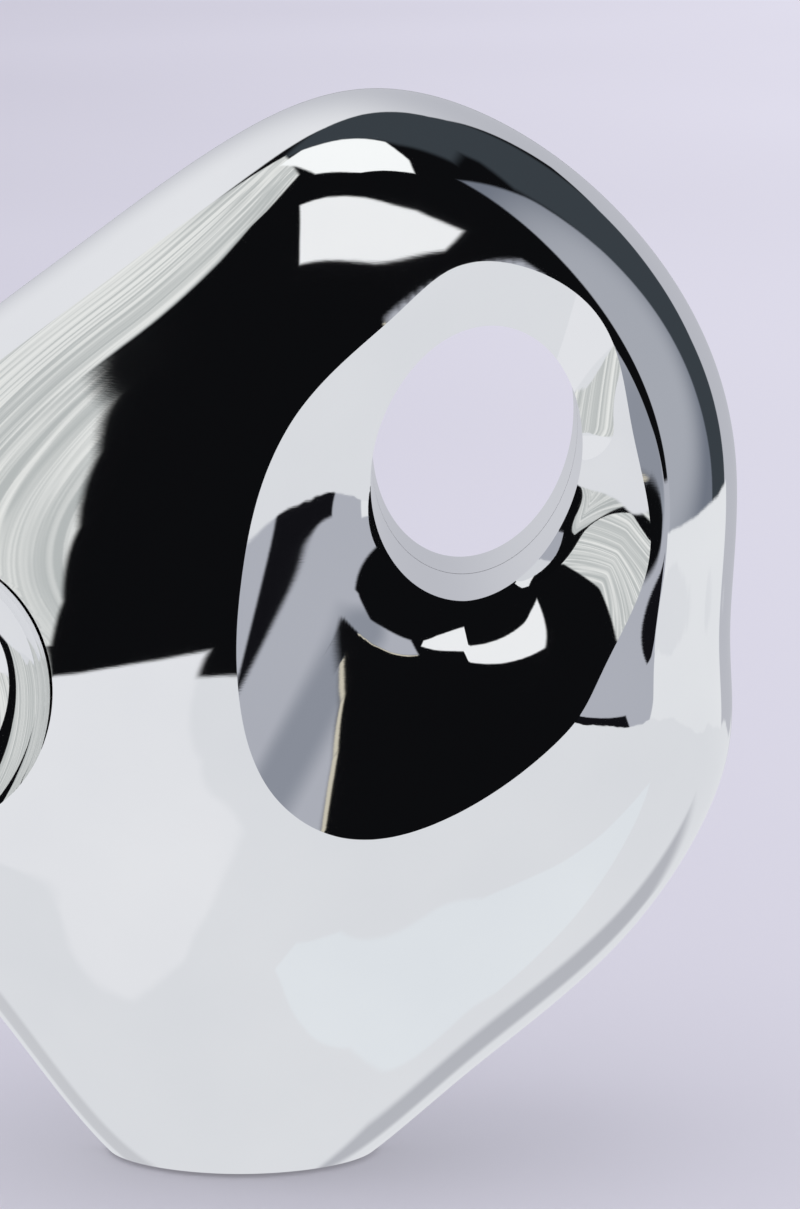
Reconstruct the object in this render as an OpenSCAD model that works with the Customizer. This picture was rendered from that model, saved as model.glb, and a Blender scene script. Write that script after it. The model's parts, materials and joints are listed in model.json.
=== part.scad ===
// Magnetic desk sculpture: a pierced, chrome-plated hollow casting in two halves.
// The rear half stands on the foot; the front half pulls off along -Y and is
// held by three pairs of pot magnets and two shouldered locating pins.
// Frame: origin at the centre of the foot, +Z up, front towards -Y. Millimetres.

/* [Body] */
// Greatest thickness of each half, from the seam to the crown of the bulge
half_depth = 38; // [36:0.5:42]
// Wall thickness of the two cast shells
wall = 2.5; // [2:0.1:3]
// Strength of the arris on the front, upper right (0 fades it away)
arris_strength = 30; // [0:5:60]
// Place of the arris at the crown, between the middle (0) and the rim (1)
arris_place_crown = 0.86; // [0.84:0.01:0.88]
// Place of the arris at the right-hand waist
arris_place_waist = 0.75; // [0.72:0.01:0.8]
// Gap left between the two shells at the seam
seam_gap = 0.3; // [0.2:0.1:0.6]

/* [Scoops and hole] */
// Depth of the large front scoop's dish under its rim
dish_depth = 8; // [6:0.5:10]
// Further drop of the dish where it funnels into the hole
funnel_drop = 2.8; // [1:0.2:4]
// Lean of the rear scoop to the right, in degrees
rear_scoop_lean = 25; // [20:1:30]
// Long half-axis of the hole
hole_long = 18.8; // [14:0.2:19]
// Short half-axis of the hole
hole_short = 14; // [11:0.2:14.4]

/* [Foot] */
// Width of the base plate and of the felt pad, along X
foot_w = 25; // [22:0.5:25.5]
// Their depth across the two flats, along Y
foot_flats = 18; // [16:0.5:19]
// Share by which the body slims in depth at the foot
foot_slimming = 0.25; // [0.15:0.01:0.28]
// Thickness of the felt pad
pad_h = 1.2; // [0.8:0.1:2]
// Thickness of the base plate
plate_h = 2.5; // [2:0.1:3]

/* [Magnets and pins] */
// Diameter of a pot magnet's steel cup
cup_d = 13; // [11:0.5:13]
// Depth of a cup
cup_h = 5; // [4:0.5:5]
// Diameter of the nose of a locating pin
pin_d = 4; // [3:0.5:4]
// Diametral clearance of a pin's nose in its bush
pin_clearance = 0.1; // [0.06:0.02:0.16]

/* [Hidden] */

front = -1;
rear = 1;
$fn = 48;

// Control points of the outline at the seam, as (x, z), clockwise from the top.
// A closed cubic B-spline runs through them, so its curvature has no breaks.
outline_controls = [
    [18, 153.5], [43, 143.5], [62.5, 123], [70.5, 99.5], [66.8, 73], [70.5, 57.5],
    [55.5, 30.5], [31, 12], [16, -3], [-3, -12], [-21, -0.5], [-38.5, 28],
    [-58, 43], [-72, 64], [-68, 90], [-45, 112], [-22, 128.5], [-3, 143]
];
steps_per_control = 5;
// Middle of the rings, inside the large scoop
middle = [20, 78];
// Exponents of the bulge: near the seam it turns square to the seam plane
bulge_in_plane = 2.4;
bulge_in_depth = 1.9;
rings_outside_arris = 4;
rings_inside_arris = 5;
// The arris runs between these places along the outline, counted in control points
arris_from = -1.2;
arris_to = 4.9;
// The slimming is centred on these control points of the outline
foot_control_front = 8.6;
foot_control_rear = 9;
foot_spread = 3;

// The shells' lower edge stands clear of the surface
shell_low = 0.6;
shell_top = 200;
// How far a cut runs past the face that it starts from
past = 1;

// Rim of the large scoop: control points as (x, z), clockwise, in a plane that leans
// back to the right and upwards
dish_rim_controls = [
    [30, 137], [53, 126], [51.5, 106], [59, 88], [45, 72], [33, 62],
    [18.5, 46], [-1.5, 50], [0, 72.5], [3.5, 90], [7, 105.5], [22.5, 120]
];
dish_middle = [31, 97];
dish_rings = 9;
// The cutter goes on past the rim by this factor, and forwards to this distance
dish_reach = 1.3;
dish_front = -80;
rim_plane_at = [31, -30.4, 91];
rim_plane_slope = [0.165, 0.124];
// The dish is deeper on its right side by this much
dish_more_right = 5;
funnel_width = 9;
// Share of the wall's thickness that the dish moves back along Y in the hollow
dish_wall_share = 1.3;
small_scoop_centre = [-47.5, -38, 70];
small_scoop_axes = [25, 25, 22];
small_scoop_lean = -40;
rear_scoop_centre = [31, 42, 97];
rear_scoop_axes = [29, 30, 37];
hole_centre = [32.4, 101.4];
hole_lean = 12;
cutter_fn = 48;

frame_in = 5.5;
frame_t = 2.5;
frame_out = frame_in + frame_t;
frame_place = 0.92;
frame_low = 26;
frame_hole_margin = wall + 1.2;
// Half the side of a square larger than the whole frame
frame_reach = 100;
tongue_w = 18;
tongue_low = 7;

magnet_points = [[12, 133.5], [-50, 88], [50, 49]];
cup_floor = 1.5;
magnet_d = cup_d - 2 * cup_floor;
// Play round a magnet in its cup, on the diameter, and its depth below the cup's rim
magnet_play = 0.6;
magnet_recess = 0.2;

pin_points = [[-24, 110], [18, 34.5]];
shoulder_d = 7;
shoulder_gap = 0.3;
bush_d = 6;
bush_flange_d = 8;
bush_flange_h = 2;
pin_nose_out = 9;
pin_chamfer = 0.6;

boss_points = [[-9, 122], [57.5, 62], [-27, 44], [42, 126]];
boss_d = 6;
boss_end = 30;

screw_d = 2.5;
screw_hole_d = 2.7;
head_d = 4.6;
head_h = 1.8;
head_play = 0.2;
frame_screw_depth = 6;
driver_d = 2;
driver_depth = 0.9;

scoop_magnet_points = [[20, 66], [-46, 68]];
scoop_magnet_out = [22.5, 9.8];
scoop_magnet_d = 12;
scoop_magnet_h = 5;
holder_wall = 1;
holder_flange = 1.8;
// The magnet's face stands this far out of its holder
holder_lip = 0.8;

ballast_d = 24;
ballast_front = 8;
ballast_top = 23;
ballast_low = pad_h + plate_h;
base_screw_spread = 7;
base_screw_front = 2;
sunk_head_h = 1;
base_screw_z = 10;
base_screw_tip_gap = 0.5;
ballast_screw_z = [11.5, 18.5];
ballast_screw_in = 1.5;

// ---- outline and bulge -------------------------------------------------

function wrap(list, i) = list[(i % len(list) + len(list)) % len(list)];

function spline_at(p, t) =
    let (i = floor(t), f = t - i)
    ((1 - f)^3 * wrap(p, i - 1) + (3 * f^3 - 6 * f^2 + 4) * wrap(p, i)
     + (-3 * f^3 + 3 * f^2 + 3 * f + 1) * wrap(p, i + 1) + f^3 * wrap(p, i + 2)) / 6;

count = len(outline_controls);
outline_steps = count * steps_per_control;

// A point of the outline, moved inwards towards the middle by inset
function rim_at(k, inset) =
    let (p = spline_at(outline_controls, k / steps_per_control), d = p - middle)
    middle + d * (1 - inset / norm(d));

// Counts control points from the crown, negative to its left
function from_crown(t) = t > count / 2 ? t - count : t;

// Swings between the crown and the waist twice round the outline
function arris_place(t) =
    (arris_place_crown + arris_place_waist) / 2
    + (arris_place_crown - arris_place_waist) / 2 * cos(720 / count * t);

// 1 along the crisp stretch of the arris, easing to 0 at both its ends
function arris_fade(t) =
    let (a = (from_crown(t) - arris_from) / (arris_to - arris_from), rise = sin(180 * a)^2)
    a <= 0 || a >= 1 ? 0 : rise * (2 - rise);

// 1 at the middle of the foot, easing to 0 at foot_spread control points from it
function foot_share(t, middle_t) =
    let (d = min(abs(t - middle_t), foot_spread)) cos(90 * d / foot_spread)^2;

ring_count = rings_outside_arris + rings_inside_arris - 1;

// Angle of ring j, from the rim (0) to the middle (90); one ring lies on the arris
function ring_angle(j, t) =
    let (arris = acos(arris_place(t)^(bulge_in_plane / 2)), inside = j - rings_outside_arris)
    inside <= 0 ? arris * j / rings_outside_arris
    : arris + (90 - arris) * inside / rings_inside_arris;

function bulge(a, u, t, side, depth) =
    let (edge = arris_place(t),
         cut = side == front && u < edge
             ? arris_strength * arris_fade(t) * (edge - u) * (u / edge)^2 : 0,
         foot = side == front ? foot_control_front : foot_control_rear,
         slim = foot_slimming * foot_share(t, foot))
    (depth * sin(a)^(2 / bulge_in_depth) - cut) * (1 - slim * u^2);

function ring(j, side, inset, depth) = [
    for (k = [0:outline_steps - 1])
        let (t = k / steps_per_control, a = ring_angle(j, t), u = cos(a)^(2 / bulge_in_plane),
             q = middle + (rim_at(k, inset) - middle) * u)
        [q[0], side * bulge(a, u, t, side, depth), q[1]]
];

// The whole closed body, or with an inset its hollow
module body_solid(inset) {
    depth = half_depth - inset;
    n = outline_steps;
    m = ring_count;
    rim = [for (k = [0:n - 1]) let (p = rim_at(k, inset)) [p[0], 0, p[1]]];
    front_rings = [for (j = [1:m]) each ring(j, front, inset, depth)];
    rear_rings = [for (j = [1:m]) each ring(j, rear, inset, depth)];
    points = concat(rim, front_rings, rear_rings,
        [[middle[0], -depth, middle[1]], [middle[0], depth, middle[1]]]);
    function start(side, j) = j == 0 ? 0 : (side == front ? j : j + m) * n;
    front_pole = n * (1 + 2 * m);
    // The front skin runs clockwise seen from the front, the rear one the other way
    faces = [
        for (side = [front, rear], j = [0:m - 1], k = [0:n - 1])
            let (a = start(side, j) + k, b = start(side, j) + (k + 1) % n,
                 c = start(side, j + 1) + (k + 1) % n, d = start(side, j + 1) + k)
            each side == front ? [[a, b, c], [a, c, d]] : [[b, a, d], [b, d, c]],
        for (k = [0:n - 1])
            [n * m + k, n * m + (k + 1) % n, front_pole],
        for (k = [0:n - 1])
            [2 * n * m + (k + 1) % n, 2 * n * m + k, front_pole + 1]
    ];
    polyhedron(points, faces);
}

module ellipsoid(centre, axes, lean) {
    translate(centre)
        rotate([0, lean, 0])
            scale(axes)
                sphere(r = 1, $fn = cutter_fn);
}

function rim_plane(p) =
    rim_plane_at[1] + rim_plane_slope[0] * (p[0] - rim_plane_at[0])
    + rim_plane_slope[1] * (p[1] - rim_plane_at[2]);

// 1 at the hole's edge or inside it, easing to 0 at funnel_width from it; fades upwards
function funnel_share(p) =
    let (d = p - hole_centre,
         across = (d[0] * cos(hole_lean) - d[1] * sin(hole_lean)) / hole_short,
         along = (d[0] * sin(hole_lean) + d[1] * cos(hole_lean)) / hole_long,
         reach = norm([across, along]),
         out = (reach - 1) * (hole_short + hole_long) / 2,
         lower = max(0, min(1, 0.3 - 0.9 * along / (reach + 0.01))))
    max(0, min(1.3, 1 - out / funnel_width))^2 * lower;

// A point of the dish at the share q of the way from its middle to its rim
function dish_point(k, q, grow) =
    let (spoke = spline_at(dish_rim_controls, k / steps_per_control) - dish_middle,
         p = dish_middle + spoke * q * (1 + grow / norm(spoke)),
         depth = dish_depth + dish_more_right * max(0, spoke[0] / norm(spoke)))
    [p[0],
     rim_plane(p) + depth * (1 - q^2) + funnel_drop * funnel_share(p) + dish_wall_share * grow,
     p[1]];

// The solid in front of the large scoop's surface
module dish(grow) {
    n = len(dish_rim_controls) * steps_per_control;
    floor_y = rim_plane(dish_middle) + dish_depth + funnel_drop + dish_wall_share * grow;
    rings = [for (j = [1:dish_rings], k = [0:n - 1]) dish_point(k, dish_reach * j / dish_rings, grow)];
    front_ring = [for (k = [0:n - 1])
        let (p = dish_point(k, dish_reach, grow)) [p[0], dish_front, p[2]]];
    points = concat(rings, front_ring,
        [[dish_middle[0], floor_y, dish_middle[1]], [dish_middle[0], dish_front, dish_middle[1]]]);
    back_pole = n * (dish_rings + 1);
    faces = [
        for (j = [0:dish_rings - 1], k = [0:n - 1])
            [j * n + k, j * n + (k + 1) % n, (j + 1) * n + (k + 1) % n, (j + 1) * n + k],
        for (k = [0:n - 1])
            [back_pole, (k + 1) % n, k],
        for (k = [0:n - 1])
            [dish_rings * n + k, dish_rings * n + (k + 1) % n, back_pole + 1]
    ];
    polyhedron(points, faces);
}

// The scooped hollows and the hole; grow is the wall left behind them
module scoops(grow) {
    more = [grow, grow, grow];
    dish(grow);
    ellipsoid(small_scoop_centre, small_scoop_axes + more, small_scoop_lean);
    ellipsoid(rear_scoop_centre, rear_scoop_axes + more, rear_scoop_lean);
    translate([hole_centre[0], 0, hole_centre[1]])
        rotate([0, hole_lean, 0])
            scale([hole_short + grow, 1, hole_long + grow])
                rotate([90, 0, 0])
                    cylinder(h = 3 * half_depth, r = 1, center = true, $fn = cutter_fn);
}

// A round bar along Y between two distances from the seam, on one side of it
module bar(point, side, near, far, d) {
    translate([point[0], side * (near + far) / 2, point[1]])
        rotate([90, 0, 0])
            cylinder(h = far - near, d = d, center = true);
}

// A bar along Y with a sign on both ends, for pieces that cross the seam
module bar_through(point, y_low, y_high, d) {
    translate([point[0], (y_low + y_high) / 2, point[1]])
        rotate([90, 0, 0])
            cylinder(h = y_high - y_low, d = d, center = true);
}

module shell_bosses(side) {
    intersection() {
        union() {
            for (p = boss_points)
                bar(p, side, frame_out, boss_end, boss_d);
        }
        difference() {
            body_solid(wall / 2);
            scoops(wall / 2);
        }
    }
}

module half_shell(side) {
    span = 4 * half_depth;
    // The resize changes no size: it keeps the shell as one closed mesh
    resize([0, 0, 0])
        difference() {
            intersection() {
                union() {
                    difference() {
                        body_solid(0);
                        scoops(0);
                        difference() {
                            body_solid(wall);
                            scoops(wall);
                        }
                    }
                    shell_bosses(side);
                }
                translate([-span, side == front ? -span : seam_gap / 2, shell_low])
                    cube([2 * span, span - seam_gap / 2, shell_top]);
            }
            for (p = boss_points)
                bar(p, side, frame_out - past, frame_out + frame_screw_depth + past, screw_hole_d);
        }
}

module rear_shell() { color("gainsboro") half_shell(rear); }
module front_shell() { color("white") half_shell(front); }

// ---- inner frames ------------------------------------------------------

module plate(side) {
    translate([0, side * (frame_in + frame_t / 2), 0])
        rotate([90, 0, 0])
            linear_extrude(frame_t, center = true)
                children();
}

function ellipse_points(centre, axes, lean) = [
    for (i = [0:cutter_fn - 1])
        let (a = i * 360 / cutter_fn, x = axes[0] * cos(a), z = axes[1] * sin(a))
        [centre[0] + x * cos(lean) + z * sin(lean), centre[1] - x * sin(lean) + z * cos(lean)]
];

module frame_outline() {
    difference() {
        polygon([for (k = [0:outline_steps - 1])
            middle + (rim_at(k, 0) - middle) * frame_place]);
        polygon(ellipse_points(hole_centre,
            [hole_short + frame_hole_margin, hole_long + frame_hole_margin], hole_lean));
        translate([-frame_reach, -frame_reach])
            square([2 * frame_reach, frame_reach + frame_low]);
    }
}

module frame_holes(side) {
    for (p = magnet_points)
        bar(p, side, frame_in - past, frame_out + past, screw_hole_d);
    for (p = boss_points)
        bar(p, side, frame_in - past, frame_out + past, screw_hole_d);
    for (p = pin_points)
        bar(p, side, frame_in - past, frame_out + past, side == rear ? pin_d : bush_d);
}

module rear_frame() {
    color("silver")
        difference() {
            union() {
                plate(rear) frame_outline();
                plate(rear)
                    translate([-tongue_w / 2, tongue_low])
                        square([tongue_w, frame_low + 4 - tongue_low]);
            }
            frame_holes(rear);
            for (z = ballast_screw_z)
                bar([0, z], rear, frame_in - past, frame_out + past, screw_hole_d);
        }
}

module front_frame() {
    color("silver")
        difference() {
            plate(front) frame_outline();
            frame_holes(front);
            for (p = scoop_magnet_points)
                bar(p, front, frame_in - past, frame_out + past, scoop_magnet_d + 2 * holder_wall);
        }
}

// ---- pot magnets -------------------------------------------------------

module magnet_cup(i, side) {
    color("lightsteelblue")
        difference() {
            bar(magnet_points[i], side, frame_in - cup_h, frame_in, cup_d);
            bar(magnet_points[i], side, frame_in - cup_h - past, frame_in - cup_floor,
                magnet_d + magnet_play);
            bar(magnet_points[i], side, frame_in - cup_floor - past, frame_in + past, screw_d);
        }
}

module pot_magnet(i, side) {
    color("dimgray")
        bar(magnet_points[i], side, frame_in - cup_h + magnet_recess, frame_in - cup_floor, magnet_d);
}

// A pan-head screw along Y: the head's seat at near, the shank outwards from it
module frame_screw(point, side, seat, length) {
    difference() {
        union() {
            bar(point, side, seat - head_h, seat, head_d);
            bar(point, side, seat, seat + length, screw_d);
        }
        bar(point, side, seat - head_h - past, seat - head_h + driver_depth, driver_d);
    }
}

module frame_screws(side) {
    color("slategray")
        for (p = boss_points)
            frame_screw(p, side, frame_in, frame_screw_depth);
}

// Cup screws come from the outer side of the frame, with their heads there
module cup_screws(side) {
    color("slategray")
        for (p = magnet_points)
            difference() {
                union() {
                    bar(p, side, frame_out, frame_out + head_h, head_d);
                    bar(p, side, frame_in - cup_floor, frame_out, screw_d);
                }
                bar(p, side, frame_out + head_h - driver_depth, frame_out + head_h + past, driver_d);
            }
}

// ---- locating pins and bushes -----------------------------------------

bush_face = -(frame_in - bush_flange_h);

module locating_pin(i) {
    p = pin_points[i];
    color("gold") {
        bar_through(p, frame_in, frame_out, pin_d);
        bar_through(p, bush_face + shoulder_gap, frame_in, shoulder_d);
        bar_through(p, -pin_nose_out + pin_chamfer, bush_face + shoulder_gap, pin_d);
        translate([p[0], -pin_nose_out + pin_chamfer, p[1]])
            rotate([90, 0, 0])
                cylinder(h = pin_chamfer, d1 = pin_d, d2 = pin_d - 2 * pin_chamfer);
    }
}

module pin_bush(i) {
    p = pin_points[i];
    color("peru")
        difference() {
            union() {
                bar_through(p, -frame_out, -frame_in, bush_d);
                bar_through(p, -frame_in, bush_face, bush_flange_d);
            }
            bar_through(p, -frame_out - past, bush_face + past, pin_d + pin_clearance);
        }
}

// ---- magnets behind the scoops ----------------------------------------

module scoop_magnet(i) {
    far = scoop_magnet_out[i];
    color("dimgray")
        bar(scoop_magnet_points[i], front, far - scoop_magnet_h, far, scoop_magnet_d);
}

module scoop_magnet_holder(i) {
    p = scoop_magnet_points[i];
    floor_at = scoop_magnet_out[i] - scoop_magnet_h;
    top = scoop_magnet_out[i] - holder_lip;
    color("ivory")
        difference() {
            union() {
                bar(p, front, frame_in, top, scoop_magnet_d + 2 * holder_wall);
                bar(p, front, frame_in - holder_flange, frame_in,
                    scoop_magnet_d + 4 * holder_wall);
            }
            bar(p, front, floor_at, top + past, scoop_magnet_d);
        }
}

// ---- foot --------------------------------------------------------------

module ballast_block() {
    color("gray")
        difference() {
            intersection() {
                translate([0, 0, ballast_low])
                    cylinder(h = ballast_top - ballast_low, d = ballast_d);
                translate([-ballast_d, -ballast_front, 0])
                    cube([2 * ballast_d, ballast_front + frame_in, ballast_top]);
            }
            for (z = ballast_screw_z)
                bar_through([0, z], ballast_screw_in - past, frame_in + past, screw_d);
            for (x = [-base_screw_spread, base_screw_spread])
                translate([x, -base_screw_front, ballast_low - past])
                    cylinder(h = base_screw_z - ballast_low + past, d = screw_d);
        }
}

module ballast_screws() {
    color("slategray")
        for (z = ballast_screw_z)
            difference() {
                union() {
                    bar([0, z], rear, frame_out, frame_out + head_h, head_d);
                    bar([0, z], rear, ballast_screw_in, frame_out, screw_d);
                }
                bar([0, z], rear, frame_out + head_h - driver_depth,
                    frame_out + head_h + past, driver_d);
            }
}

// A disc with two flats, front and rear
module foot_disc(low, h) {
    intersection() {
        translate([0, 0, low])
            cylinder(h = h, d = foot_w);
        translate([-foot_w, -foot_flats / 2, low - past])
            cube([2 * foot_w, foot_flats, h + 2 * past]);
    }
}

module base_plate() {
    color("darkgray")
        difference() {
            foot_disc(pad_h, plate_h);
            for (x = [-base_screw_spread, base_screw_spread])
                translate([x, -base_screw_front, pad_h]) {
                    translate([0, 0, -past])
                        cylinder(h = plate_h + 2 * past, d = screw_hole_d);
                    translate([0, 0, -past])
                        cylinder(h = past + sunk_head_h, d = head_d + head_play);
                }
        }
}

module base_plate_screws() {
    color("slategray")
        for (x = [-base_screw_spread, base_screw_spread])
            translate([x, -base_screw_front, pad_h])
                difference() {
                    union() {
                        cylinder(h = sunk_head_h, d = head_d);
                        cylinder(h = base_screw_z - pad_h - base_screw_tip_gap, d = screw_d);
                    }
                    translate([0, 0, -past])
                        cylinder(h = past + driver_depth / 2, d = driver_d);
                }
}

module foot_pad() {
    color("darkslategray")
        foot_disc(0, pad_h);
}

// ---- nodes -------------------------------------------------------------

rear_shell();
front_shell();
rear_frame();
front_frame();
magnet_cup(0, rear);  // rear_magnet_cup_upper
magnet_cup(1, rear);  // rear_magnet_cup_left
magnet_cup(2, rear);  // rear_magnet_cup_lower
magnet_cup(0, front);  // front_magnet_cup_upper
magnet_cup(1, front);  // front_magnet_cup_left
magnet_cup(2, front);  // front_magnet_cup_lower
pot_magnet(0, rear);  // rear_magnet_upper
pot_magnet(1, rear);  // rear_magnet_left
pot_magnet(2, rear);  // rear_magnet_lower
pot_magnet(0, front);  // front_magnet_upper
pot_magnet(1, front);  // front_magnet_left
pot_magnet(2, front);  // front_magnet_lower
locating_pin(0);  // locating_pin_upper
locating_pin(1);  // locating_pin_lower
pin_bush(0);  // pin_bush_upper
pin_bush(1);  // pin_bush_lower
scoop_magnet(0);  // scoop_magnet_right
scoop_magnet(1);  // scoop_magnet_left
scoop_magnet_holder(0);  // scoop_magnet_holder_right
scoop_magnet_holder(1);  // scoop_magnet_holder_left
frame_screws(rear);  // rear_frame_screws
frame_screws(front);  // front_frame_screws
cup_screws(rear);  // rear_cup_screws
cup_screws(front);  // front_cup_screws
ballast_block();
ballast_screws();
base_plate();
base_plate_screws();
foot_pad();
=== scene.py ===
import json
import math

import bpy
import numpy as np
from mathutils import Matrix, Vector


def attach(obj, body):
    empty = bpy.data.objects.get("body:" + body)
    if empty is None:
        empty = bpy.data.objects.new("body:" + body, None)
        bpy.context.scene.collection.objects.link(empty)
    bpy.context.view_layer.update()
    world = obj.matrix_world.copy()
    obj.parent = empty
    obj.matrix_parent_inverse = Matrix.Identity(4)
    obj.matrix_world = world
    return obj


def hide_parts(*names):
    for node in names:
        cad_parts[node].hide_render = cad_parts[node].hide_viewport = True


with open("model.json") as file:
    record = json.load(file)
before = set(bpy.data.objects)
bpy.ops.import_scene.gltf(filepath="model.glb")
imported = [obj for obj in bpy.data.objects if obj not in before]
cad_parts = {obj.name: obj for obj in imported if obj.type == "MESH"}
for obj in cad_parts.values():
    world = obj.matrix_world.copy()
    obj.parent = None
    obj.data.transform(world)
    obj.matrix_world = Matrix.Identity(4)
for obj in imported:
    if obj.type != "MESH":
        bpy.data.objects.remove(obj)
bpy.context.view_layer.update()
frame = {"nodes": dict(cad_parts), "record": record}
mm = 0.001
nearPole = 0.0001

# The outline at the seam and the bulge over it, in millimetres, as in the CAD
body = {
    "outline": [
        (18, 153.5), (43, 143.5), (62.5, 123), (70.5, 99.5), (66.8, 73), (70.5, 57.5),
        (55.5, 30.5), (31, 12), (16, -3), (-3, -12), (-21, -0.5), (-38.5, 28),
        (-58, 43), (-72, 64), (-68, 90), (-45, 112), (-22, 128.5), (-3, 143),
    ],
    "middle": (20, 78),
    "halfDepth": 38,
    "wall": 2.5,
    "seamGap": 0.3,
    "low": 0.6,
    "inPlane": 2.4,
    "inDepth": 1.9,
    "arrisStrength": 30,
    "arrisCrown": 0.86,
    "arrisWaist": 0.75,
    "arrisFrom": -1.2,
    "arrisTo": 4.9,
    "arrisRound": 0.004,
    "ringSpacing": 1.35,  # above 1, the rings crowd round the arris
    "slimming": 0.25,
    "footFront": 8.6,
    "footRear": 9.0,
    "footSpread": 3.0,
}
# Cutters: the dish hangs from a leaning rim plane and funnels into the hole, the others are ellipsoids
dish = {
    "rim": [
        (30, 137), (53, 126), (51.5, 106), (59, 88), (45, 72), (33, 62),
        (18.5, 46), (-1.5, 50), (0, 72.5), (3.5, 90), (7, 105.5), (22.5, 120),
    ],
    "deepest": (31, 97),
    "planeAt": (31, -30.4, 91),
    "planeSlope": (0.165, 0.124),
    "depth": 8,
    "reach": 1.3,
    "front": -80,
    "moreRight": 5,
    "closeFrom": 0.91,  # share of the cutter past which it closes, in front of the body
    "funnelWidth": 9,
    "funnelDrop": 2.8,
    "funnelMost": 1.3,
    "lowerShare": 0.3,  # the funnel fades upwards from the hole's middle
    "lowerSlope": 0.9,
    "wallShare": 1.3,
}
scoop = {
    "small": {"centre": (-47.5, -38, 70), "axes": (25, 25, 22), "lean": -40},
    "rear": {"centre": (31, 42, 97), "axes": (29, 30, 37), "lean": 25},
    "hole": {"centre": (32.4, 0, 101.4), "axes": (14, 60, 18.8), "lean": 12},
}
meshing = {"around": 540, "outside": 24, "inside": 40, "innerAround": 180, "innerRings": 12,
           "dishAround": 288, "dishRings": 110, "scoopAround": 192, "innerScoopAround": 96}
meshing["creaseAngle"] = 28


def splineAt(controls, t):
    points = np.array(controls, float)
    i = np.floor(t).astype(int)
    f = (t - i)[:, None]
    a, b, c, d = (points[(i + k) % len(points)] for k in (-1, 0, 1, 2))
    return ((1 - f) ** 3 * a + (3 * f ** 3 - 6 * f ** 2 + 4) * b
            + (-3 * f ** 3 + 3 * f ** 2 + 3 * f + 1) * c + f ** 3 * d) / 6


def arrisPlace(t):
    turn = 4 * math.pi / len(body["outline"])
    crown, waist = body["arrisCrown"], body["arrisWaist"]
    return (crown + waist) / 2 + (crown - waist) / 2 * np.cos(turn * t)


def arrisFade(t):
    count = len(body["outline"])
    s = np.where(t > count / 2, t - count, t)
    a = np.clip((s - body["arrisFrom"]) / (body["arrisTo"] - body["arrisFrom"]), 0, 1)
    rise = np.sin(math.pi * a) ** 2
    return rise * (2 - rise)


def footShare(t, middle):
    d = np.minimum(np.abs(t - middle), body["footSpread"]) / body["footSpread"]
    return np.cos(math.pi / 2 * d) ** 2


def bodyPoints(t, ringShare, side, inset, arrisShare):
    # ringShare runs from the rim, 0, to the middle, 1; arrisShare is where the arris lies in it
    arris = np.arccos(arrisPlace(t) ** (body["inPlane"] / 2))
    outer = np.clip(1 - ringShare / arrisShare, 0, 1) ** body["ringSpacing"]
    inner = np.clip((ringShare - arrisShare) / (1 - arrisShare), 0, 1) ** body["ringSpacing"]
    angle = np.where(ringShare < arrisShare, arris * (1 - outer), arris + (math.pi / 2 - arris) * inner)
    u = np.cos(angle) ** (2 / body["inPlane"])
    edge = arrisPlace(t)
    w = edge - u
    hinge = (w + np.sqrt(w ** 2 + body["arrisRound"] ** 2)) / 2
    cut = body["arrisStrength"] * arrisFade(t) * hinge * (u / edge) ** 2 * (side < 0)
    foot = np.where(side < 0, footShare(t, body["footFront"]), footShare(t, body["footRear"]))
    bulge = (body["halfDepth"] - inset) * np.sin(angle) ** (2 / body["inDepth"])
    depth = (bulge - cut) * (1 - body["slimming"] * foot * u ** 2)
    depth = np.where(ringShare <= 1e-6, 0, depth)
    middle = np.array(body["middle"], float)
    rim = splineAt(body["outline"], t) - middle
    rim = rim * (1 - inset / np.linalg.norm(rim, axis=1))[:, None]
    place = middle + rim * u[:, None]
    return np.stack([place[:, 0], side * depth, place[:, 1]], axis=1) * mm


def deselect():
    if bpy.context.object and bpy.context.object.mode != "OBJECT":
        bpy.ops.object.mode_set(mode="OBJECT")
    bpy.ops.object.select_all(action="DESELECT")


def addBall(name, around, rings):
    deselect()
    bpy.ops.mesh.primitive_uv_sphere_add(segments=around, ring_count=rings, radius=1)
    ball = bpy.context.object
    ball.name = name
    co = np.empty(len(ball.data.vertices) * 3)
    ball.data.vertices.foreach_get("co", co)
    return ball, co.reshape(-1, 3)


def placeAround(co, count):
    # Each meridian's place along a closed line of that many control points
    return np.mod(np.arctan2(co[:, 1], co[:, 0]) / (2 * math.pi) * count + count, count)


def addBody(name, inset, around, outside, inside):
    # A sphere's meridians become the places round the outline and its parallels the rings
    ball, co = addBall(name, around, 2 * (outside + inside))
    t = placeAround(co, len(body["outline"]))
    ringShare = np.abs(np.arcsin(np.clip(co[:, 2], -1, 1))) / (math.pi / 2)
    side = np.where(co[:, 2] >= 0, -1.0, 1.0)
    t = np.where(ringShare > 1 - nearPole, 0, t)
    points = bodyPoints(t, ringShare, side, inset, outside / (outside + inside))
    ball.data.vertices.foreach_set("co", points.ravel())
    ball.data.update()
    return ball


def tidyNormals(obj):
    deselect()
    obj.select_set(True)
    bpy.context.view_layer.objects.active = obj
    bpy.ops.object.mode_set(mode="EDIT")
    bpy.ops.mesh.select_all(action="SELECT")
    bpy.ops.mesh.normals_make_consistent(inside=False)
    bpy.ops.object.mode_set(mode="OBJECT")


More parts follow.
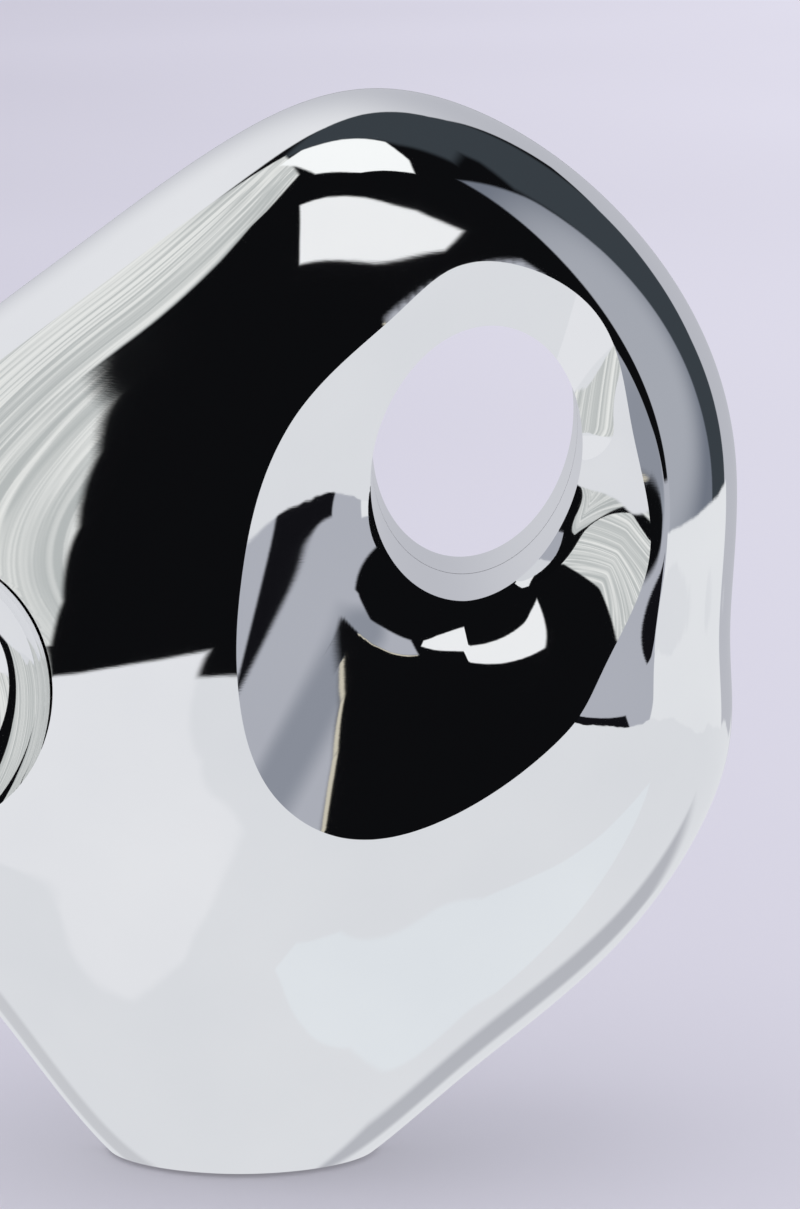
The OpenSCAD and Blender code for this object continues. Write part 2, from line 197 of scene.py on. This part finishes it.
def addDish(grow, around, rings):
    # A sphere again: its lower part is the dish, and its top closes it far in front of the body
    cutter, co = addBall("cutter_dish", around, rings)
    share = np.arcsin(np.clip(co[:, 2], -1, 1)) / math.pi + 0.5  # 0 at the sphere's foot, 1 at its top
    t = np.where((share < nearPole) | (share > 1 - nearPole), 0, placeAround(co, len(dish["rim"])))
    closing = share > dish["closeFrom"]
    q = dish["reach"] * np.minimum(share / (dish["closeFrom"] - 0.01), 1)
    deepest = np.array(dish["deepest"], float)
    spoke = splineAt(dish["rim"], t) - deepest
    length = np.linalg.norm(spoke, axis=1)
    place = deepest + spoke * (q * (1 + grow / length))[:, None]
    shrink = np.where(closing, (1 - share) / (1 - dish["closeFrom"]), 1)
    place = deepest + (place - deepest) * shrink[:, None]
    x, z = place[:, 0], place[:, 1]
    planeX, planeY, planeZ = dish["planeAt"]
    plane = planeY + dish["planeSlope"][0] * (x - planeX) + dish["planeSlope"][1] * (z - planeZ)
    hole = scoop["hole"]
    lean = math.radians(hole["lean"])
    dx, dz = x - hole["centre"][0], z - hole["centre"][2]
    across = (dx * math.cos(lean) - dz * math.sin(lean)) / hole["axes"][0]
    along = (dx * math.sin(lean) + dz * math.cos(lean)) / hole["axes"][2]
    reach = np.hypot(across, along)
    past = (reach - 1) * (hole["axes"][0] + hole["axes"][2]) / 2
    lower = np.clip(dish["lowerShare"] - dish["lowerSlope"] * along / (reach + 0.01), 0, 1)
    funnel = np.clip(1 - past / dish["funnelWidth"], 0, dish["funnelMost"]) ** 2 * lower
    depth = dish["depth"] + dish["moreRight"] * np.clip(spoke[:, 0] / length, 0, 1)
    y = plane + depth * (1 - q ** 2) + dish["funnelDrop"] * funnel + dish["wallShare"] * grow
    y = np.where(closing, dish["front"], y)
    cutter.data.vertices.foreach_set("co", (np.stack([x, y, z], axis=1) * mm).ravel())
    cutter.data.update()
    tidyNormals(cutter)
    return cutter


def addScoop(kind, grow, around):
    if kind == "dish":
        return addDish(grow, around, meshing["dishRings"])
    s = scoop[kind]
    deselect()
    x, y, z = s["centre"]
    if kind == "hole":
        bpy.ops.mesh.primitive_cylinder_add(vertices=around, radius=1, depth=2, rotation=(math.pi / 2, 0, 0))
    else:
        bpy.ops.mesh.primitive_uv_sphere_add(segments=around, ring_count=around // 2, radius=1,
                                             rotation=(math.pi / 2, 0, 0))
    bpy.ops.object.transform_apply(location=False, rotation=True, scale=False)
    cutter = bpy.context.object
    cutter.name = "cutter_" + kind
    cutter.scale = [(a + grow) * mm for a in s["axes"]]
    cutter.rotation_euler = (0, math.radians(s["lean"]), 0)
    cutter.location = (x * mm, y * mm, z * mm)
    bpy.ops.object.transform_apply(location=True, rotation=True, scale=True)
    return cutter


def combine(obj, other, operation):
    deselect()
    obj.select_set(True)
    bpy.context.view_layer.objects.active = obj
    step = obj.modifiers.new("step", "BOOLEAN")
    step.operation = operation
    step.solver = "MANIFOLD"
    step.object = other
    bpy.ops.object.modifier_apply(modifier=step.name)
    bpy.data.objects.remove(other, do_unlink=True)


def setFinish(obj, material):
    obj.data.materials.clear()
    obj.data.materials.append(material)


def addBox(name, low, high):
    deselect()
    bpy.ops.mesh.primitive_cube_add(size=1)
    box = bpy.context.object
    box.name = name
    box.scale = [b - a for a, b in zip(low, high)]
    box.location = [(a + b) / 2 for a, b in zip(low, high)]
    bpy.ops.object.transform_apply(location=True, rotation=True, scale=True)
    return box


cuts = ["dish", *scoop]


def addShell(name, side, chrome, cast):
    m = meshing
    skin = addBody(name, 0, m["around"], m["outside"], m["inside"])
    tidyNormals(skin)
    setFinish(skin, chrome)
    for kind in cuts:
        cutter = addScoop(kind, 0, m["dishAround"] if kind == "dish" else m["scoopAround"])
        setFinish(cutter, chrome)
        combine(skin, cutter, "DIFFERENCE")
    hollow = addBody("hollow", body["wall"], m["innerAround"], m["innerRings"], m["innerRings"])
    tidyNormals(hollow)
    setFinish(hollow, cast)
    for kind in cuts:
        cutter = addScoop(kind, body["wall"], m["innerScoopAround"])
        setFinish(cutter, cast)
        combine(hollow, cutter, "DIFFERENCE")
    combine(skin, hollow, "DIFFERENCE")
    gap, low, far = body["seamGap"] / 2 * mm, body["low"] * mm, 0.2  # far is past every face
    box = addBox("half", (-far, -far if side < 0 else gap, low), (far, -gap if side < 0 else far, far))
    setFinish(box, cast)
    combine(skin, box, "INTERSECT")
    deselect()
    skin.select_set(True)
    bpy.context.view_layer.objects.active = skin
    bpy.ops.object.shade_smooth_by_angle(angle=math.radians(meshing["creaseAngle"]))
    print("shell", name, len(skin.data.polygons))
    return skin


def startMaterial(name):
    material = bpy.data.materials.new(name)
    material.use_nodes = True
    nodes = material.node_tree.nodes
    return material, nodes, material.node_tree.links, nodes["Principled BSDF"]


def addNoise(nodes, links, scale, detail=2.0, stretch=(1, 1, 1)):
    coord = nodes.new("ShaderNodeTexCoord").outputs["Object"]
    mapping = nodes.new("ShaderNodeMapping")
    mapping.inputs["Scale"].default_value = stretch
    noise = nodes.new("ShaderNodeTexNoise")
    noise.inputs["Scale"].default_value = scale
    noise.inputs["Detail"].default_value = detail
    links.new(coord, mapping.inputs["Vector"])
    links.new(mapping.outputs["Vector"], noise.inputs["Vector"])
    return noise.outputs["Fac"]


def spread(nodes, links, value, low, high):
    # Turns a 0 to 1 texture into a number between low and high
    span = nodes.new("ShaderNodeMapRange")
    span.inputs["To Min"].default_value = low
    span.inputs["To Max"].default_value = high
    links.new(value, span.inputs["Value"])
    return span.outputs["Result"]


def tint(nodes, links, value, dark, light):
    ramp = nodes.new("ShaderNodeValToRGB")
    ramp.color_ramp.elements[0].position = 0.3
    ramp.color_ramp.elements[1].position = 0.7
    ramp.color_ramp.elements[0].color = (*dark, 1)
    ramp.color_ramp.elements[1].color = (*light, 1)
    links.new(value, ramp.inputs["Fac"])
    return ramp.outputs["Color"]


def addBump(nodes, links, value, height, normal=None):
    bump = nodes.new("ShaderNodeBump")
    bump.inputs["Strength"].default_value = 1
    bump.inputs["Distance"].default_value = height
    links.new(value, bump.inputs["Height"])
    if normal is not None:
        links.new(normal, bump.inputs["Normal"])
    return bump.outputs["Normal"]


def makeChrome():
    material, nodes, links, shader = startMaterial("mirrorChrome")
    shader.inputs["Metallic"].default_value = 1
    cloud = tint(nodes, links, addNoise(nodes, links, 40, 3), (0.900, 0.905, 0.915), (0.935, 0.938, 0.942))
    links.new(cloud, shader.inputs["Base Color"])
    haze = addNoise(nodes, links, 120, 4)
    links.new(spread(nodes, links, haze, 0.012, 0.035), shader.inputs["Roughness"])
    waves = addBump(nodes, links, addNoise(nodes, links, 45, 1), 0.00002)
    swirls = addNoise(nodes, links, 900, 2, (1, 1, 6))
    links.new(addBump(nodes, links, swirls, 0.0000004, waves), shader.inputs["Normal"])
    return material


def makeMetal(name, dark, light, roughness, grain, stretch, height=0.000004):
    material, nodes, links, shader = startMaterial(name)
    shader.inputs["Metallic"].default_value = 1
    patches = addNoise(nodes, links, grain / 8, 3)
    lines = addNoise(nodes, links, grain, 3, stretch)
    links.new(tint(nodes, links, patches, dark, light), shader.inputs["Base Color"])
    links.new(spread(nodes, links, lines, roughness * 0.7, roughness * 1.3), shader.inputs["Roughness"])
    links.new(addBump(nodes, links, lines, height), shader.inputs["Normal"])
    return material


def makeDull(name, dark, light, roughness, grain, height, sheen=0.0):
    material, nodes, links, shader = startMaterial(name)
    speck = addNoise(nodes, links, grain, 4)
    links.new(tint(nodes, links, speck, dark, light), shader.inputs["Base Color"])
    dullness = spread(nodes, links, speck, roughness * 0.85, min(1, roughness * 1.1))
    links.new(dullness, shader.inputs["Roughness"])
    shader.inputs["Sheen Weight"].default_value = sheen
    links.new(addBump(nodes, links, speck, height), shader.inputs["Normal"])
    return material


# The studio as directions from the object, (azimuth, elevation) in degrees, with azimuth 0 to the front
# and the right-hand side positive. Softness and waviness are in radians, but in degrees for the table.
studio = {
    "rippleScale": 4,
    "rippleDetail": 3,
    "dark": (0.004, 0.0042, 0.005),
    "seen": (0.7, 0.69, 0.76),
    "table": {"top": -12.5, "soft": 0.8, "wavy": 10, "colour": (0.75, 0.765, 0.795)},
    # Each card is one or more convex pieces, given by their corners; later cards lie over earlier ones
    "cards": {
        "darkBand": {
            "pieces": [
                [(112, 52), (118, 25), (122, -12), (142, -12), (146, 24), (148, 36), (130, 60)],
                [(135, 20), (146, 22), (160, 48), (130, 66), (120, 50)],
                [(150, 44), (175, 53), (-150, 56), (-122, 57), (-124, 62), (-145, 74), (166, 80),
                 (112, 66)],
            ],
            "soft": 0.03, "wavy": 0.03, "colour": (0.042, 0.052, 0.062),
        },
        "backdrop": {
            "pieces": [
                [(139, -40), (140, 10), (146, 24), (-112, 24), (-116, -40)],
                [(151, 20), (158, 46), (170, 56), (-150, 58), (-118, 52), (-112, 40), (-112, 15)],
            ],
            "soft": 0.01, "wavy": 0.02, "colour": (0.81, 0.82, 0.85),
            "fade": {"towards": (145, 10), "start": 0.3, "end": 0.95, "colour": (0.5, 0.51, 0.56)},
        },
        "drape": {
            "pieces": [
                [(-126, 57), (-119, 60), (-98, 64.5), (-67, 43.5), (-70, 30), (-112, 40)],
                [(-70, 44.5), (-51, 38), (-41, 30.5), (-33, 19.5), (-29, 5.5), (-29, -14), (-115, -14),
                 (-112, 42)],
            ],
            "soft": 0.008, "wavy": 0.008, "colour": (0.5, 0.525, 0.52),
            "streaks": {"start": (-98, 57), "end": (-50, 5), "across": 34, "along": 2.2, "detail": 3,
                        "waver": 1.2, "full": 0.66, "none": 0.36, "colour": (0.84, 0.85, 0.83)},
        },
        "greyPanel": {
            "pieces": [
                [(92, 66), (112, 50), (121, 25), (126, -12), (88, -12), (88, 40)],
            ],
            "soft": 0.012, "wavy": 0.02, "colour": (0.17, 0.19, 0.235),
            "fade": {"towards": (85, 20), "start": 0.74, "end": 0.93, "colour": (0.4, 0.42, 0.47)},
        },
        "lilacPanel": {
            "pieces": [
                [(49, 0), (55, 5), (90, 3), (90, -13), (56, -13)],
                [(22.5, 33), (29, 21), (34, 14), (42, 6), (51, 13), (33, 34)],
                [(39, 9), (49, 0), (66, 0), (64, 6), (50, 14)],
            ],
            "soft": 0.012, "wavy": 0.01, "colour": (0.44, 0.455, 0.51),
            "fade": {"towards": (44, 10), "start": 0.955, "end": 0.995, "colour": (0.27, 0.29, 0.34)},
        },
        "gap": {
            "pieces": [
                [(52, -14), (52, -7.6), (72, -7.6), (75, -14)],
            ],
            "soft": 0.006, "wavy": 0.01, "colour": (0.006, 0.006, 0.008),
        },
        "creamEdge": {
            "pieces": [
                [(22, 32.5), (28.3, 21), (29.2, 21), (22.9, 32.5)],
                [(28.3, 21), (33.2, 14), (34, 14), (29.2, 21)],
                [(33.2, 14), (41.4, 6), (42, 6), (34, 14)],
            ],
            "soft": 0.003, "wavy": 0.01, "colour": (0.62, 0.58, 0.47),
        },
        "whiteSheet": {
            "pieces": [
                [(84, -6), (142, -6), (150, -40), (78, -40)],
            ],
            "soft": 0.006, "wavy": 0.03, "colour": (0.8, 0.815, 0.84),
        },
        "overhead": {
            "pieces": [
                [(-118, 58), (-127, 61), (-145, 73), (166, 79.5), (99, 79.5), (67, 76.5), (-40, 80),
                 (-90, 69)],
            ],
            "soft": 0.008, "wavy": 0.02, "colour": (0.98, 1.0, 1.0),
        },
        "softbox": {
            "pieces": [
                [(-55, 60.5), (-30, 63), (4, 57), (20, 49), (28, 40), (26, 37), (15, 42), (-27, 50)],
            ],
            "soft": 0.006, "wavy": 0.008, "colour": (0.9, 0.91, 0.92),
        },
    },
    # Marks on the table, painted over it
    "marks": {
        "brightSheet": {
            "pieces": [
                [(-15, -28.5), (-23.5, -37), (-35, -44), (-56, -49), (-80, -47), (-112, -30),
                 (-112, -10), (-12, -8)],
            ],
            "soft": 0.008, "wavy": 0.03, "colour": (0.81, 0.82, 0.85),
        },
        "softPatch": {
            "pieces": [
                [(-8, -48), (-2, -45), (14, -46.5), (47, -55), (52, -66), (15, -61)],
                [(40, -54), (71, -45), (92, -30), (111, -61), (52, -66)],
            ],
            "soft": 0.006, "wavy": 0.02, "colour": (0.78, 0.815, 0.85),
        },
        "farRight": {
            "pieces": [
                [(134, -27), (155, -27), (155, -58), (134, -58)],
            ],
            "soft": 0.05, "wavy": 0.02, "colour": (0.48, 0.49, 0.53),
        },
        "farLeft": {
            "pieces": [
                [(-134, -28), (-155, -28), (-155, -55), (-134, -55)],
            ],
            "soft": 0.05, "wavy": 0.02, "colour": (0.6, 0.61, 0.64),
        },
    },
}


def directionOf(azimuth, elevation):
    a, e = math.radians(azimuth), math.radians(elevation)
    return Vector((math.sin(a) * math.cos(e), -math.cos(a) * math.cos(e), math.sin(e)))


def buildStudio():
    world = bpy.data.worlds.new("studio")
    bpy.context.scene.world = world
    world.use_nodes = True
    nodes, links = world.node_tree.nodes, world.node_tree.links
    nodes.clear()
    out = nodes.new("ShaderNodeOutputWorld")
    direction = nodes.new("ShaderNodeTexCoord").outputs["Generated"]
    split = nodes.new("ShaderNodeSeparateXYZ")
    links.new(direction, split.inputs["Vector"])

    def reckon(operation, a, b=None, c=None):
        node = nodes.new("ShaderNodeMath")
        node.operation = operation
        for i, v in enumerate((a, b, c)):
            if v is None:
                continue
            if isinstance(v, (int, float)):
                node.inputs[i].default_value = v
            else:
                links.new(v, node.inputs[i])
        return node.outputs[0]

    degree = 180 / math.pi
    elevation = reckon("MULTIPLY", reckon("ARCSINE", split.outputs["Z"]), degree)
    ripple = nodes.new("ShaderNodeTexNoise")
    ripple.inputs["Scale"].default_value = studio["rippleScale"]
    ripple.inputs["Detail"].default_value = studio["rippleDetail"]
    links.new(direction, ripple.inputs["Vector"])
    sway = reckon("SUBTRACT", ripple.outputs["Fac"], 0.5)

    def mixIn(mask, under, colour):
        mix = nodes.new("ShaderNodeMix")
        mix.data_type = "RGBA"
        links.new(mask, mix.inputs["Factor"])
        for layer, name in ((under, "A"), (colour, "B")):
            if isinstance(layer, tuple):
                mix.inputs[name].default_value = (*layer, 1)
            else:
                links.new(layer, mix.inputs[name])
        return mix.outputs["Result"]

    def smooth(value, full, none):
        step = nodes.new("ShaderNodeMapRange")
        step.interpolation_type = "SMOOTHSTEP"
        step.inputs["From Min"].default_value = full
        step.inputs["From Max"].default_value = none
        step.inputs["To Min"].default_value = 1
        step.inputs["To Max"].default_value = 0
        links.new(value, step.inputs["Value"])
        return step.outputs["Result"]

    def dotWith(axis):
        dot = nodes.new("ShaderNodeVectorMath")
        dot.operation = "DOT_PRODUCT"
        dot.inputs[1].default_value = axis
        links.new(direction, dot.inputs[0])
        return dot.outputs["Value"]

    def insideOf(piece):
        corners = [directionOf(*corner) for corner in piece]
        centre = sum(corners[1:], corners[0])
        inside = None
        for first, second in zip(corners, corners[1:] + corners[:1]):
            edge = first.cross(second).normalized()
            if edge.dot(centre) < 0:
                edge.negate()
            beside = dotWith(edge)
            inside = beside if inside is None else reckon("MINIMUM", inside, beside)
        return inside

    def cardColour(card):
        colour = card["colour"]
        if "fade" in card:
            fade = card["fade"]
            nearness = dotWith(directionOf(*fade["towards"]))
            colour = mixIn(smooth(nearness, fade["end"], fade["start"]), colour, fade["colour"])
        if "streaks" in card:
            streaks = card["streaks"]
            start, end = directionOf(*streaks["start"]), directionOf(*streaks["end"])
            place = nodes.new("ShaderNodeCombineXYZ")
            across = dotWith(start.cross(end).normalized())
            links.new(reckon("MULTIPLY", across, streaks["across"]), place.inputs["X"])
            links.new(reckon("MULTIPLY", dotWith(end), streaks["along"]), place.inputs["Y"])
            grain = nodes.new("ShaderNodeTexNoise")
            grain.inputs["Scale"].default_value = 1
            grain.inputs["Detail"].default_value = streaks["detail"]
            grain.inputs["Distortion"].default_value = streaks["waver"]
            links.new(place.outputs["Vector"], grain.inputs["Vector"])
            shine = smooth(grain.outputs["Fac"], streaks["full"], streaks["none"])
            colour = mixIn(shine, colour, streaks["colour"])
        return colour

    def paint(cards, colour):
        for card in cards.values():
            inside = None
            for piece in card["pieces"]:
                one = insideOf(piece)
                inside = one if inside is None else reckon("MAXIMUM", inside, one)
            inside = reckon("MULTIPLY_ADD", sway, card["wavy"], inside)
            colour = mixIn(smooth(inside, card["soft"], -card["soft"]), colour, cardColour(card))
        return colour

    colour = paint(studio["cards"], studio["dark"])
    table = studio["table"]
    level = reckon("MULTIPLY_ADD", sway, table["wavy"], elevation)
    colour = mixIn(smooth(level, table["top"], table["top"] + table["soft"]), colour, table["colour"])
    colour = paint(studio["marks"], colour)
    reflected = nodes.new("ShaderNodeBackground")
    links.new(colour, reflected.inputs["Color"])
    seen = nodes.new("ShaderNodeBackground")
    seen.inputs["Color"].default_value = (*studio["seen"], 1)
    rays = nodes.new("ShaderNodeLightPath")
    choose = nodes.new("ShaderNodeMixShader")
    plain = reckon("MAXIMUM", rays.outputs["Is Camera Ray"], rays.outputs["Is Diffuse Ray"])
    links.new(plain, choose.inputs["Fac"])
    links.new(reflected.outputs[0], choose.inputs[1])
    links.new(seen.outputs[0], choose.inputs[2])
    links.new(choose.outputs[0], out.inputs["Surface"])


# Painted light: the floor glows, a little more to the right, standing in for the studio light falling on it:
# from x, to x, from strength, to strength
stage = {"floorRadius": 12.0, "paintedGlow": (-0.35, 0.35, 0.12, 0.36)}
sky = {"tilt": (12, -8), "width": 60, "energy": 0.4}
view = {"elevation": 10.0, "distance": 0.700, "aim": (0.0221, 0.0, 0.07846), "frameHeight": 0.16823,
        "sensor": 24}


def addCamera():
    lift = math.radians(view["elevation"])
    (x, y, z), away = view["aim"], view["distance"]
    deselect()
    bpy.ops.object.camera_add(location=(x, y - away * math.cos(lift), z + away * math.sin(lift)),
                              rotation=(math.pi / 2 - lift, 0, 0))
    camera = bpy.context.object
    camera.name = "camera"
    camera.data.sensor_fit = "VERTICAL"
    camera.data.sensor_height = view["sensor"]
    camera.data.lens = view["sensor"] * away / view["frameHeight"]
    camera.data.clip_start = 0.01
    camera.data.clip_end = 100
    bpy.context.scene.camera = camera


def addFloor():
    deselect()
    bpy.ops.mesh.primitive_circle_add(vertices=96, radius=stage["floorRadius"], fill_type="NGON")
    floor = bpy.context.object
    floor.name = "floor"
    material, nodes, links, shader = startMaterial("paleLilacSweep")
    cloud = addNoise(nodes, links, 1.5, 1)
    links.new(tint(nodes, links, cloud, (0.60, 0.59, 0.65), (0.64, 0.63, 0.69)), shader.inputs["Base Color"])
    shader.inputs["Roughness"].default_value = 0.9
    shader.inputs["Specular IOR Level"].default_value = 0
    # Painted light: the floor's own glow, brighter to the right, stands in for the light on it and lightens
    # its shadows
    shader.inputs["Emission Color"].default_value = (0.70, 0.69, 0.75, 1)
    split = nodes.new("ShaderNodeSeparateXYZ")
    links.new(nodes.new("ShaderNodeTexCoord").outputs["Object"], split.inputs["Vector"])
    paintedGlow = nodes.new("ShaderNodeMapRange")
    for name, value in zip(("From Min", "From Max", "To Min", "To Max"), stage["paintedGlow"]):
        paintedGlow.inputs[name].default_value = value
    links.new(split.outputs["X"], paintedGlow.inputs["Value"])
    links.new(paintedGlow.outputs["Result"], shader.inputs["Emission Strength"])
    floor.data.materials.append(material)
    floor.visible_glossy = False


def addKeyLight():
    deselect()
    tiltX, tiltY = (math.radians(angle) for angle in sky["tilt"])
    bpy.ops.object.light_add(type="SUN", location=(0, 0, 2), rotation=(tiltX, tiltY, 0))
    key = bpy.context.object
    key.name = "overheadLight"
    key.data.angle = math.radians(sky["width"])
    key.data.energy = sky["energy"]
    key.visible_glossy = False
    print("light", key.name)


bpy.context.scene.view_settings.view_transform = "Standard"
addCamera()
buildStudio()
addFloor()
addKeyLight()

chrome = makeChrome()
cast = makeDull("castInside", (0.30, 0.30, 0.31), (0.42, 0.42, 0.43), 0.55, 900, 0.00006)
castings = (("front_casting", -1, "front_half", "front_shell"),
            ("rear_casting", 1, "rear_half", "rear_shell"))
for casting, side, bodyName, node in castings:
    shell = addShell(casting, side, chrome, cast)
    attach(shell, bodyName)
    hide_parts(node)

finishes = {
    "frame_aluminium": makeMetal("milledAluminium", (0.60, 0.61, 0.63), (0.72, 0.73, 0.75), 0.34, 500,
                                 (1, 1, 12)),
    "cup_steel": makeMetal("zincPlatedCup", (0.50, 0.52, 0.54), (0.66, 0.67, 0.69), 0.28, 900, (1, 8, 1)),
    "magnet_nickel": makeMetal("nickelMagnet", (0.50, 0.49, 0.46), (0.62, 0.60, 0.56), 0.22, 700, (1, 1, 1)),
    "pin_steel": makeMetal("groundPin", (0.55, 0.56, 0.58), (0.68, 0.69, 0.70), 0.16, 1200, (1, 10, 1)),
    "bush_brass": makeMetal("turnedBrass", (0.62, 0.42, 0.16), (0.80, 0.58, 0.26), 0.24, 1200, (1, 10, 1)),
    "screw_steel": makeMetal("plainScrew", (0.36, 0.37, 0.39), (0.52, 0.53, 0.55), 0.30, 1200, (1, 6, 1)),
    "plate_steel": makeMetal("platedPlate", (0.42, 0.43, 0.45), (0.56, 0.57, 0.59), 0.32, 600, (1, 10, 1)),
    "holder_plastic": makeDull("naturalNylon", (0.74, 0.72, 0.65), (0.84, 0.82, 0.76), 0.5, 400, 0.000008),
    "ballast_iron": makeDull("turnedIron", (0.05, 0.05, 0.055), (0.10, 0.10, 0.105), 0.45, 700, 0.00002),
    "pad_felt": makeDull("charcoalFelt", (0.015, 0.015, 0.018), (0.05, 0.05, 0.055), 0.95, 2200, 0.0001, 0.6),
}
# The pieces taken straight from the frame
slotOf = {part["node"]: part["material_slot"] for part in frame["record"]["subparts"]}
for name, node in frame["nodes"].items():
    if slotOf[name] in finishes:
        setFinish(node, finishes[slotOf[name]])
print("materials set")
